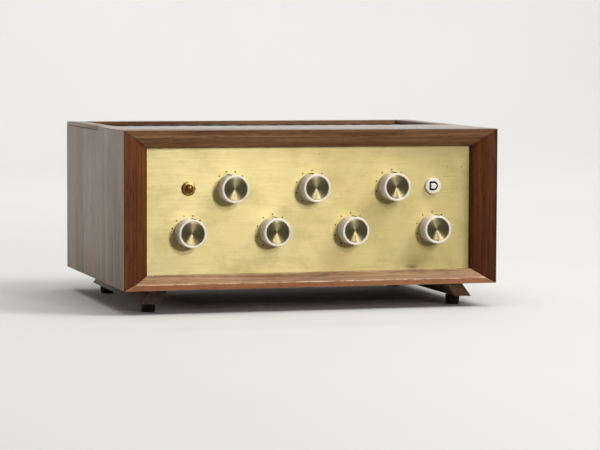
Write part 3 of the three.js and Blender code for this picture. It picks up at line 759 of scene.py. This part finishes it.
# ---------------------------------------------------------------------------------------------------------
# Feet, and the screws under the case


def foot(node):
    """A rubber foot, with the screw that holds it sunk in its middle."""
    at = bottom_of(node)
    tall = millimetres(node).z
    hole_top = 3.0
    recess = [(2.6, hole_top), (3.0, 2.6), (3.2, 0.5), (3.7, 0.05)]
    tread = [(5.6, 0.0), (6.2, 0.2), (6.55, 0.7), (6.65, 1.4)]
    flank = [(6.9, tall - 0.7), (6.95, tall - 0.2), (6.7, tall), (2.6, tall)]
    bm = bmesh.new()
    lathe(bm, recess + tread + flank, at, 48, UPRIGHT)
    finish_piece("rubber_" + node, bm, RUBBER, [node])
    bm = bmesh.new()
    lathe(bm, [(0, hole_top), (2.55, hole_top), (2.55, tall - 0.3), (0, tall - 0.3)], at, 24, UPRIGHT)
    screw(bm, 2.5, at + Vector((0, 0, hole_top * MM)), UPRIGHT, 0.7)
    finish_piece("screw_" + node, bm, PLATED)


def runner_screws():
    """Two screws up through each runner, on its splayed lower face."""
    inset = 8 * MM
    bm = bmesh.new()
    for side in ("left", "right"):
        low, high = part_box("runner_" + side)
        x = low.x + inset if side == "left" else high.x - inset
        for share, slot_turn in ((0.3, 0.4), (0.72, 2.0)):
            screw(bm, 2.8, (x, low.y + share * (high.y - low.y), low.z), UPRIGHT, slot_turn)
    finish_piece("runner_screws", bm, BRASS_SCREW)


for end in ("front", "rear"):
    for side in ("left", "right"):
        foot(f"foot_{end}_{side}")
runner_screws()

# ---------------------------------------------------------------------------------------------------------
# Fittings on the rear panel

TERMINALS = 6
TERMINAL_PITCH = 15
TERMINAL_STRIP = 3  # thickness
SOCKET_COLUMNS = 6
SOCKET_PITCH = 20
SOCKET_ROW_PITCH = 22
PIN_CIRCLE = 5.7
FLANGE_SCREWS = 13.6  # distance of the inlet's screws from its axis
SCREW_INSET = 6 * MM  # distance of the rear panel's screws from its edges


def speaker_terminals():
    """A laminate strip, with ribs between slotted screws on square plates."""
    at = front_of("speaker_terminals")
    size = millimetres("speaker_terminals")
    face = at + Vector((0, TERMINAL_STRIP * MM, 0))
    bm = bmesh.new()
    slab(bm, size.x, size.z, 2, -TERMINAL_STRIP, 0, 0.4, at, FACE_BACK)
    for x in centred_row(TERMINALS + 1, TERMINAL_PITCH):
        slab(bm, 1.6, 17, 0.7, -2.6, 0.1, 0.3, face + Vector((x, 0, 0)), FACE_BACK)
    finish_piece("terminal_strip", bm, PHENOLIC, ["speaker_terminals"])
    bm = bmesh.new()
    for index, x in enumerate(centred_row(TERMINALS, TERMINAL_PITCH)):
        slab(bm, 9, 11, 0.8, -0.8, 0.05, 0.15, face + Vector((x, 0, 0)), FACE_BACK)
        screw(bm, 3.4, face + Vector((x, 0.7 * MM, 0)), FACE_BACK, 0.3 + 0.9 * index)
    finish_piece("terminal_screws", bm, PLATED)


def input_sockets():
    """Two rows of phono sockets on a laminate strip."""
    at = front_of("input_sockets")
    size = millimetres("input_sockets")
    reach = size.y
    bm = bmesh.new()
    slab(bm, size.x, size.z, 2.5, -1.2, 0, 0.3, at, FACE_BACK)
    finish_piece("socket_strip", bm, PHENOLIC, ["input_sockets"])
    barrel = [(2.9, 1.0), (5.4, 1.0), (5.4, 1.6), (4.6, 1.7), (4.6, 2.6), (4.0, 2.7)]
    for groove in range(6):
        barrel += [(4.15, 3.1 + groove * 0.55), (3.95, 3.35 + groove * 0.55)]
    barrel += [(4.1, 6.8), (4.1, reach - 0.4), (3.9, reach), (3.5, reach), (3.4, 2.6), (2.9, 2.6)]
    core = [(1.6, 1.0), (3.0, 1.0), (3.3, 2.7), (3.3, reach - 1.6), (3.1, reach - 1.3), (1.7, reach - 1.3)]
    barrels, cores = bmesh.new(), bmesh.new()
    for x in centred_row(SOCKET_COLUMNS, SOCKET_PITCH):
        for z in centred_row(2, SOCKET_ROW_PITCH):
            lathe(barrels, barrel, at + Vector((x, 0, z)), 36)
            lathe(cores, core, at + Vector((x, 0, z)), 24)
    finish_piece("socket_barrels", barrels, PLATED, crease=50)
    finish_piece("socket_cores", cores, BLACK)


def mains_inlet():
    """A round flanged shell, with three pins down in its mouth."""
    at = front_of("mains_inlet")
    reach = millimetres("mains_inlet").y
    flange = reach - 2.5
    outside = [(0, 0), (12, 0), (12, flange), (15.6, flange), (16, flange + 0.4), (16, reach - 0.7)]
    outside += [(15.8, reach - 0.2), (15.2, reach), (11.6, reach)]
    lip = [(11.2, reach - 0.3), (10.6, reach - 0.3), (10.2, reach), (9.8, reach - 0.1), (9.5, reach - 0.5)]
    bm = bmesh.new()
    lathe(bm, outside + lip + [(9.5, 2), (0, 2)], at, 72)
    finish_piece("inlet_shell", bm, BLACK, ["mains_inlet"])
    pin = [(0, 1.8), (1.9, 1.8), (2.0, 2.2), (2.0, reach - 3.6), (1.7, reach - 2.8)]
    pin += [(1.0, reach - 2.4), (0, reach - 2.3)]
    bm = bmesh.new()
    for degrees in (90, 210, 330):
        angle = math.radians(degrees)
        away = Vector((math.cos(angle), 0, math.sin(angle))) * PIN_CIRCLE * MM
        lathe(bm, pin, at + away, 24)
    finish_piece("inlet_pins", bm, BRASS_SCREW)


def fuse_holder():
    """A ribbed cap on a flange, between the sockets and the inlet."""
    x = (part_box("input_sockets")[1].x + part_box("mains_inlet")[0].x) / 2
    at = (x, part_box("rear_panel")[1].y, centre("mains_inlet").z)
    flange = [(0, 0), (8.5, 0), (8.5, 1.4), (8.1, 1.9), (6.9, 2.0)]
    cap = [(6.9, 7.2), (6.5, 7.8), (1.2, 7.9), (1.0, 7.4), (0, 7.4)]
    ribs = 24
    bm = bmesh.new()
    lathe(bm, flange + cap, at, 48)
    for rib in range(ribs):
        turn = Matrix.Rotation(2 * math.pi * rib / ribs, 3, "Y")
        block(bm, (-0.3, 2.2, 6.7), (0.3, 7.2, 7.25), at, turn)
    finish_piece("fuse_holder", bm, BLACK)


def rear_screws():
    """Four screws along the top and bottom of the rear panel, and two in the flange of the inlet."""
    low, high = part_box("rear_panel")
    inlet = centre("mains_inlet")
    flange_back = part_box("mains_inlet")[1].y - 0.2 * MM
    bm = bmesh.new()
    for index, x in enumerate((low.x + SCREW_INSET, low.x / 3, high.x / 3, high.x - SCREW_INSET)):
        for z in (low.z + SCREW_INSET, high.z - SCREW_INSET):
            screw(bm, 2.9, (x, high.y, z), FACE_BACK, index * 0.8 + z * 20)
    for side in (-1, 1):
        screw(bm, 2.2, (inlet.x + side * FLANGE_SCREWS * MM, flange_back, inlet.z), FACE_BACK, 0.5 + side)
    finish_piece("rear_screws", bm, PLATED)


speaker_terminals()
input_sockets()
mains_inlet()
fuse_holder()
rear_screws()

# ---------------------------------------------------------------------------------------------------------
# What the chassis carries: transformers, valves and smoothing capacitors

CHASSIS_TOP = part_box("mains_transformer")[0].z
CASE_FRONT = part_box("bezel_top")[0].y
OUTPUT_VALVES = [(x, 140, 66) for x in (-135, -98, -61, -24)]  # x, distance from the case's front, height
SMALL_VALVES = [(x, 92, 46) for x in (-120, -70, -20, 30)]
CAPACITORS = [(24, 148), (60, 130), (120, 130)]
FOOT_WIDTH = 9  # of the bracket, on each side of a transformer's core
BRACKET = 3  # thickness of the bracket
COIL_SHARE = 1.32  # depth of a transformer over its windings, against that of its core


def on_chassis(x, y):
    return Vector((x * MM, CASE_FRONT + y * MM, CHASSIS_TOP))


def transformer(name, bolt):
    """A stack of laminations on a bracket, round a taped winding between cheeks. bolt is a head's radius."""
    middle = centre(name)
    base = bottom_of(name)
    size = millimetres(name)
    wide = size.x - 2 * FOOT_WIDTH
    deep = size.y / COIL_SHARE
    tall = size.z
    core = Vector((wide / 2, deep / 2, tall / 2))
    bm = bmesh.new()
    block(bm, -core, core, middle)
    round_edges(bm, 0.6)
    finish_piece(name + "_core", bm, LAMINATED, [name])

    coil = Vector((wide * 0.3, deep * 0.655, tall * 0.33))
    bm = bmesh.new()
    block(bm, -coil, coil, middle)
    round_edges(bm, 5, 5)
    finish_piece(name + "_winding", bm, TAPE)

    bm = bmesh.new()
    for side, turn in ((-1, None), (1, FACE_BACK)):
        face = middle + Vector((0, side * core.y * MM, 0))
        slab(bm, wide * 0.6 + 3, tall * 0.66 + 3, 2, -1.6, 0, 0.2, face, turn)
    finish_piece(name + "_cheeks", bm, PHENOLIC)

    bm = bmesh.new()
    slab(bm, size.x, deep, 3, -BRACKET, 0, 0.4, base, FACE_UP)
    for side_x in (-1, 1):
        for side_y, turn in ((-1, None), (1, FACE_BACK)):
            on_foot = Vector((side_x * (core.x + 4.8), side_y * deep * 0.36, BRACKET))
            screw(bm, bolt, base + on_foot * MM, FACE_UP, side_x + side_y)
            for z in (9 - core.z, core.z - 9):
                on_core = Vector((side_x * (core.x - 6), side_y * core.y, z))
                screw(bm, bolt, middle + on_core * MM, turn, side_x)
    finish_piece(name + "_bracket", bm, PLATED)


def valve(number, place, tall):
    """A glass valve in its socket, with its anode inside and the silvery getter in its top."""
    flange = [(0, 0), (14, 0), (14, 1.2), (12.4, 1.6)]
    cup = [(12.2, 8), (11.6, 8.6), (10.9, 8.4), (10.8, 3), (0, 3)]
    bm = bmesh.new()
    lathe(bm, flange + cup, place, 40, UPRIGHT)
    finish_piece(f"valve_socket_{number}", bm, PHENOLIC)

    tip = [(0, tall + 6), (0.7, tall + 5.6), (1.3, tall + 3.6), (2.4, tall + 2.2), (5.5, tall + 1.2)]
    outside = [(8.6, tall - 1.2), (10.1, tall - 5), (10.5, tall - 9), (10.5, 6), (9.6, 4.2)]
    inside = [(8.9, 4.2), (9.6, 6.4), (9.6, tall - 9), (9.2, tall - 5.4), (7.8, tall - 2.2)]
    inside += [(5, tall - 0.2), (2, tall + 1), (0, tall + 1.6)]
    bm = bmesh.new()
    lathe(bm, tip + outside + inside, place, 48, UPRIGHT)
    finish_piece(f"valve_glass_{number}", bm, GLASS)

    low, high = 14, tall - 16
    bm = bmesh.new()
    for level in (low, high):
        lathe(bm, [(0, 0), (9.3, 0), (9.3, 0.5), (0, 0.5)], place + Vector((0, 0, level * MM)), 32, UPRIGHT)
    for index, half_width in enumerate((6.4, 5.6, 6.4, 5.6)):
        turn = Matrix.Rotation(math.pi / 4 * index, 3, "Z") @ UPRIGHT
        block(bm, (-half_width, low, -1.6), (half_width, high, 1.6), place, turn)
    finish_piece(f"valve_anode_{number}", bm, ANODE)

    getter = [(0, tall + 1.3), (4.9, tall - 0.5), (7.6, tall - 2.5), (9.0, tall - 5.6), (8.6, tall - 5.9)]
    bm = bmesh.new()
    lathe(bm, getter + [(0, tall + 0.4)], place, 40, UPRIGHT)
    finish_piece(f"valve_getter_{number}", bm, GETTER)


def capacitor(number, place):
    """A metal can with a rolled rim, clamped at its foot."""
    clamp = [(0, 0), (15.5, 0), (15.5, 3.5), (15, 4), (15, 6), (15.6, 6.6)]
    can = [(15.6, 78), (15.2, 79.4), (14.2, 80), (13.4, 79.4), (13.2, 78.2), (4, 78.2), (3.6, 78.8), (0, 79)]
    bm = bmesh.new()
    lathe(bm, clamp + can, place, 56, UPRIGHT)
    finish_piece(f"capacitor_{number}", bm, ALUMINIUM)


transformer("mains_transformer", 3.4)
transformer("output_transformer_left", 2.8)
transformer("output_transformer_right", 2.8)
for number, (x, y, tall) in enumerate(OUTPUT_VALVES + SMALL_VALVES, 1):
    valve(number, on_chassis(x, y), tall)
for number, (x, y) in enumerate(CAPACITORS, 1):
    capacitor(number, on_chassis(x, y))

# ---------------------------------------------------------------------------------------------------------
# Floor, light and camera

STUDIO_HALF_WIDTH = 8.0
STUDIO_FRONT = -6.0
FLOOR_END = 2.4
BEND = 1.6  # radius of the curve from the floor up to the wall
WALL_TOP = 6.0
WARM = (1.0, 0.98, 0.95)
WARMER = (1.0, 0.95, 0.88)


def paper(name, points, in_reflections):
    """A strip of pale studio paper along a line of (y, z) points."""
    bm = bmesh.new()
    rows = [[bm.verts.new((side * STUDIO_HALF_WIDTH, y, z)) for side in (-1, 1)] for y, z in points]
    for first, second in zip(rows, rows[1:]):
        bm.faces.new((first[0], first[1], second[1], second[0]))
    mesh = bpy.data.meshes.new(name)
    bm.to_mesh(mesh)
    bm.free()
    mesh.materials.append(PAPER)
    mesh.shade_smooth()
    strip = bpy.data.objects.new(name, mesh)
    strip.visible_glossy = in_reflections
    bpy.context.scene.collection.objects.link(strip)


def area_light(name, azimuth, elevation, size, power, colour=(1, 1, 1), distance=2.6, target=(0, 0, 0.09)):
    """A softbox aimed at target. Azimuth 0 is in front and grows to the right, and both angles are in
    degrees."""
    data = bpy.data.lights.new(name, "AREA")
    data.shape = "RECTANGLE"
    data.size, data.size_y = size
    data.energy = power
    data.color = colour
    light = bpy.data.objects.new(name, data)
    a, e = math.radians(azimuth), math.radians(elevation)
    away = Vector((math.sin(a) * math.cos(e), -math.cos(a) * math.cos(e), math.sin(e)))
    light.location = Vector(target) + away * distance
    light.rotation_euler = (-away).to_track_quat("-Z", "Y").to_euler()
    bpy.context.scene.collection.objects.link(light)


case_front_y = CAD_BOX[0][1]
quarter = [math.radians(6 * step) for step in range(16)]
curve = [(FLOOR_END + BEND * math.sin(a), BEND - BEND * math.cos(a)) for a in quarter]
# The front strip stays out of reflections, because the knobs' inlays would mirror it.
paper("studio_floor_front", [(STUDIO_FRONT, 0.0), (case_front_y, 0.0)], False)
paper("studio_floor", [(case_front_y, 0.0), (FLOOR_END, 0.0)], True)
paper("studio_wall", curve + [(FLOOR_END + BEND, WALL_TOP)], True)

# The two small keys cast the double shadow of each knob on the faceplate.
area_light("key_low", 14, 12.5, (0.16, 0.16), 5.8, WARM)
area_light("key_high", 11.5, 22.5, (0.18, 0.18), 6.5, WARM)
area_light("near_fill", -6, 20, (0.2, 0.2), 0.4)
area_light("high_right", 52, 46, (0.9, 0.9), 36)
area_light("overhead", 20, 80, (2.6, 2.0), 48)
area_light("left_back", -125, 7, (1.2, 0.25), 12.5, WARMER)
area_light("backdrop", 0, 45, (4.6, 1.2), 85, distance=2.4, target=(1.1, 3.4, 0.9))

world = bpy.data.worlds.new("studio")
world.use_nodes = True
background = world.node_tree.nodes["Background"]
background.inputs["Color"].default_value = (1.0, 1.0, 0.99, 1)
background.inputs["Strength"].default_value = 0.13
bpy.context.scene.world = world
bpy.context.scene.view_settings.view_transform = "Standard"

CAMERA_PLACE = (-0.68624, -2.41834, 0.25746)
YAW = math.radians(16.38)  # to the right
PITCH = math.radians(4.212)  # downwards
ROLL = math.radians(-0.244)

data = bpy.data.cameras.new("camera")
data.sensor_width = 36
data.lens = 153.11
data.clip_end = 100
camera = bpy.data.objects.new("camera", data)
level = Matrix.Rotation(-YAW, 4, "Z") @ Matrix.Rotation(math.pi / 2 - PITCH, 4, "X")
camera.matrix_world = Matrix.Translation(CAMERA_PLACE) @ level @ Matrix.Rotation(-ROLL, 4, "Z")
bpy.context.scene.collection.objects.link(camera)
bpy.context.scene.camera = camera
